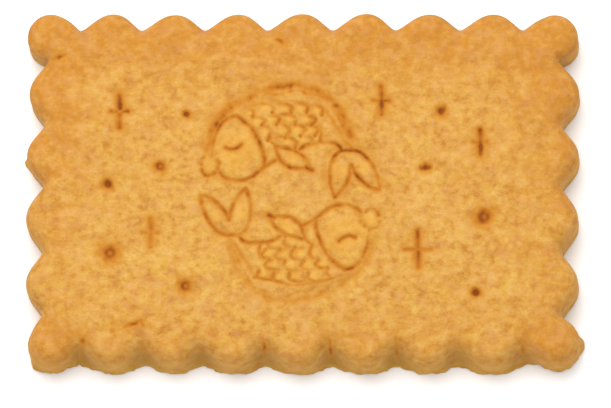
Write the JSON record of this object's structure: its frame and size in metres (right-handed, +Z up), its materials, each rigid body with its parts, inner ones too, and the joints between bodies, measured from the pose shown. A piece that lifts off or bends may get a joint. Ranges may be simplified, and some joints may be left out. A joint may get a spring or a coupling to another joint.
{
  "type": "shortbread biscuit",
  "caption": "Flat oblong butter biscuit with a scalloped edge, rounded ears at its corners and a stamped pair of fish with small stars and docker holes.",
  "frame": {"origin": "centre of the flat underside", "axes": "+X along the long side, +Z up out of the stamped top, +Y towards the upper fish"},
  "size_m": [0.0662, 0.0426, 0.0063],
  "materials": {
    "baked_dough": "dry matt baked butter dough, golden with orange-brown edges and a fine sandy grain"
  },
  "bodies": {
    "root": {"biscuit": "baked_dough"}
  },
  "joints": []
}
